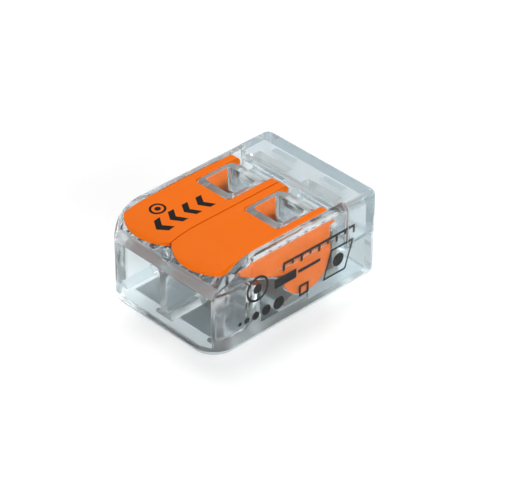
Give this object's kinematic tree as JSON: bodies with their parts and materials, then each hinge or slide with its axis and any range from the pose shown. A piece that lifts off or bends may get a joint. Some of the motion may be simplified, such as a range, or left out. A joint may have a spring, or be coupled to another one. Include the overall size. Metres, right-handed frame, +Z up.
{
  "type": "lever wire connector",
  "caption": "Compact clear wire connector: hinged orange levers lift spring clamps off a shared busbar so that stripped wires can be pushed in and released.",
  "frame": {"origin": "centre of the base on the resting face", "axes": "+X across the poles, +Y along the wires from the wire mouths to the rear cover, +Z up to the levers"},
  "size_m": [0.0132, 0.0186, 0.0083],
  "materials": {
    "clear_housing": "clear polycarbonate, polished",
    "clear_cover": "clear polycarbonate, polished",
    "orange_lever": "orange moulded plastic, satin",
    "tinned_copper": "tin plated, dull bright",
    "spring_steel": "rolled stainless strip"
  },
  "bodies": {
    "connector_body": {"housing": "clear_housing", "rear_cover": "clear_cover", "busbar": "tinned_copper", "spring_left": "spring_steel", "spring_right": "spring_steel"},
    "left_lever": {"lever_left": "orange_lever"},
    "right_lever": {"lever_right": "orange_lever"},
    "left_clamp": {"clamp_leg_left": "spring_steel"},
    "right_clamp": {"clamp_leg_right": "spring_steel"}
  },
  "joints": [
    {"name": "left_clamp_flex", "type": "hinge", "parent": "connector_body", "child": "left_clamp", "pos_m": [-0.00288, -0.00194, 0.00475], "axis": [1, 0, 0], "range_deg": [0, 26]},
    {"name": "right_clamp_flex", "type": "hinge", "parent": "connector_body", "child": "right_clamp", "pos_m": [0.00288, -0.00194, 0.00475], "axis": [1, 0, 0], "range_deg": [0, 26]},
    {"name": "left_lever_hinge", "type": "hinge", "parent": "connector_body", "child": "left_lever", "pos_m": [-0.00288, 0.00146, 0.0045], "axis": [-1, 0, 0], "range_deg": [0, 90]},
    {"name": "right_lever_hinge", "type": "hinge", "parent": "connector_body", "child": "right_lever", "pos_m": [0.00288, 0.00146, 0.0045], "axis": [-1, 0, 0], "range_deg": [0, 90]}
  ],
  "couplings": [
    {"joint": "left_lever_hinge", "follows": "left_clamp_flex", "ratio": 3.4615},
    {"joint": "right_lever_hinge", "follows": "right_clamp_flex", "ratio": 3.4615}
  ]
}
